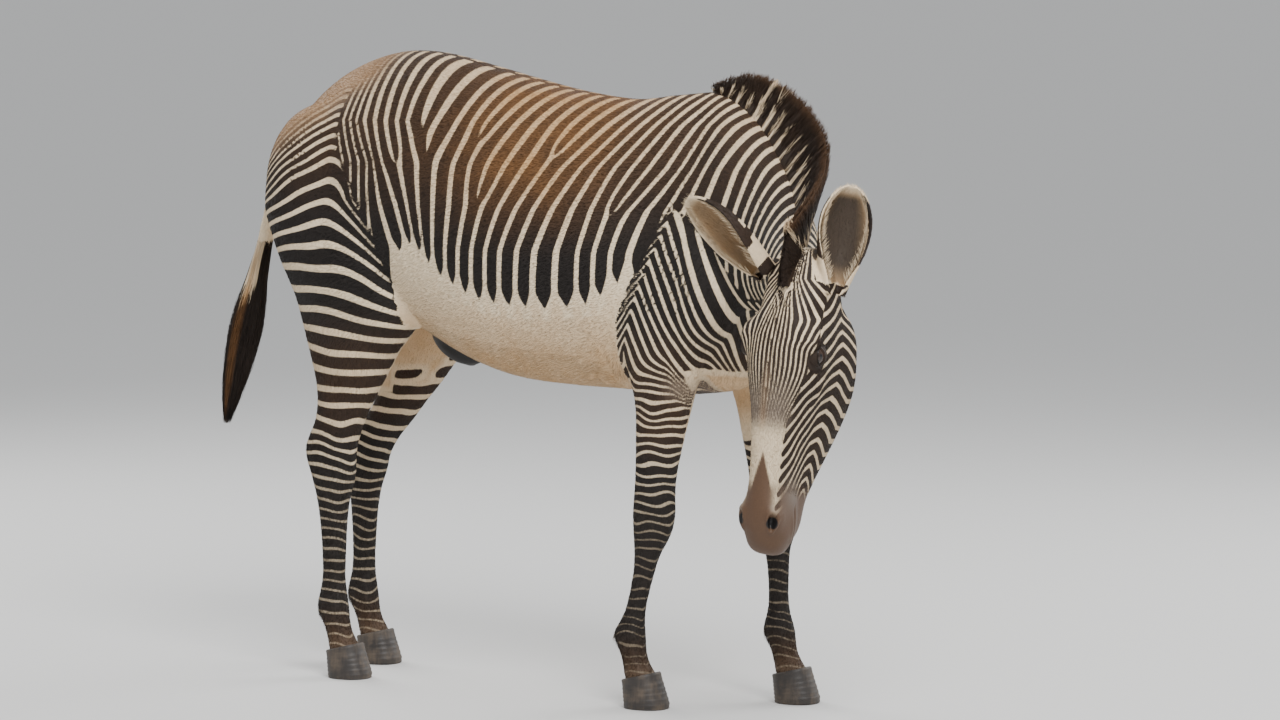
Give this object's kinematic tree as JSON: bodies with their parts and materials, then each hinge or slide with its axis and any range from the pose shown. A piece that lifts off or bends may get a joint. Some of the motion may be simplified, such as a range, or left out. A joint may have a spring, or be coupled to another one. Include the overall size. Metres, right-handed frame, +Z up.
{
  "type": "grevy's zebra",
  "caption": "Life-size zebra stallion standing still on four hooves, head lowered and turned to its right, with large round ears, an upright mane and a tufted tail.",
  "frame": {"origin": "middle of the bounding box's bottom face, on the floor plane that the four hooves stand on", "axes": "+Z up from the floor; the body faces -Y, with its tail towards +Y and its left side towards +X; the head is turned towards -X"},
  "size_m": [0.8294, 2.0554, 1.569],
  "materials": {
    "ear_left": "short flat coat, narrow cream and black-brown stripes",
    "ear_right": "short flat coat, narrow cream and black-brown stripes",
    "eye_left": "glossy dark brown eye",
    "eye_right": "glossy dark brown eye",
    "foreleg_left_cannon": "short flat coat, narrow cream and black-brown stripes",
    "foreleg_left_hoof": "dull dark horn",
    "foreleg_left_pastern": "short flat coat, narrow cream and black-brown stripes",
    "foreleg_left_upper": "short flat coat, narrow cream and black-brown stripes",
    "foreleg_right_cannon": "short flat coat, narrow cream and black-brown stripes",
    "foreleg_right_hoof": "dull dark horn",
    "foreleg_right_pastern": "short flat coat, narrow cream and black-brown stripes",
    "foreleg_right_upper": "short flat coat, narrow cream and black-brown stripes",
    "head": "short flat coat, narrow cream and black-brown stripes",
    "hindleg_left_cannon": "short flat coat, narrow cream and black-brown stripes",
    "hindleg_left_hoof": "dull dark horn",
    "hindleg_left_pastern": "short flat coat, narrow cream and black-brown stripes",
    "hindleg_left_upper": "short flat coat, narrow cream and black-brown stripes",
    "hindleg_right_cannon": "short flat coat, narrow cream and black-brown stripes",
    "hindleg_right_hoof": "dull dark horn",
    "hindleg_right_pastern": "short flat coat, narrow cream and black-brown stripes",
    "hindleg_right_upper": "short flat coat, narrow cream and black-brown stripes",
    "mane": "coarse upright black hair",
    "neck": "short flat coat, narrow cream and black-brown stripes",
    "sheath": "bare dark skin",
    "tail_dock": "short flat coat, narrow cream and black-brown stripes",
    "tail_tuft": "coarse long black hair",
    "trunk": "short flat coat, narrow cream and black-brown stripes"
  },
  "bodies": {
    "root": {"ear_left": "ear_left", "ear_right": "ear_right", "eye_left": "eye_left", "eye_right": "eye_right", "foreleg_left_cannon": "foreleg_left_cannon", "foreleg_left_hoof": "foreleg_left_hoof", "foreleg_left_pastern": "foreleg_left_pastern", "foreleg_left_upper": "foreleg_left_upper", "foreleg_right_cannon": "foreleg_right_cannon", "foreleg_right_hoof": "foreleg_right_hoof", "foreleg_right_pastern": "foreleg_right_pastern", "foreleg_right_upper": "foreleg_right_upper", "head": "head", "hindleg_left_cannon": "hindleg_left_cannon", "hindleg_left_hoof": "hindleg_left_hoof", "hindleg_left_pastern": "hindleg_left_pastern", "hindleg_left_upper": "hindleg_left_upper", "hindleg_right_cannon": "hindleg_right_cannon", "hindleg_right_hoof": "hindleg_right_hoof", "hindleg_right_pastern": "hindleg_right_pastern", "hindleg_right_upper": "hindleg_right_upper", "mane": "mane", "neck": "neck", "sheath": "sheath", "tail_dock": "tail_dock", "tail_tuft": "tail_tuft", "trunk": "trunk"}
  },
  "joints": []
}
